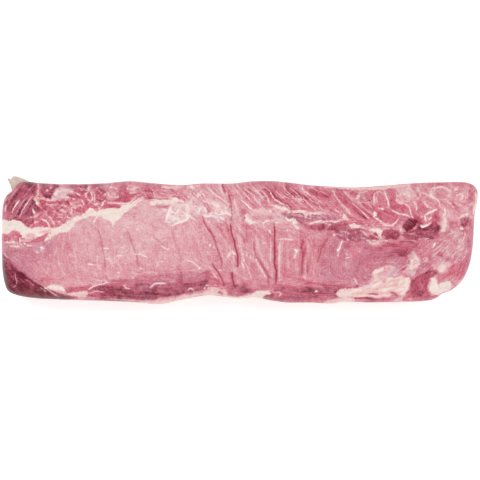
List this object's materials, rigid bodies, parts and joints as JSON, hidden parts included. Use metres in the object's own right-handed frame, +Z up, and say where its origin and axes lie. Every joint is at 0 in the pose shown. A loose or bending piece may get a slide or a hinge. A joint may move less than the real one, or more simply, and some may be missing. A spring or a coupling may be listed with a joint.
{
  "type": "raw pork loin",
  "caption": "Whole raw boneless pork loin: a long flattened slab of pink meat with a fat cap, seams of fat, creases and a loose corner of fat, lying on its fat side.",
  "frame": {"origin": "centre of the bounding box's bottom face, on the surface that the loin lies on", "axes": "+X along the loin, towards the end with the cut-off corner; +Y across it, towards the chine side; +Z up, through the lean side"},
  "size_m": [0.5997, 0.1617, 0.0615],
  "materials": {
    "raw_pork": "moist raw pork: pale to deep rose meat with cream fat seams and fat cap, purple-red bands at two corners, softly glossy as under tight film"
  },
  "bodies": {
    "root": {"pork_loin": "raw_pork"}
  },
  "joints": []
}
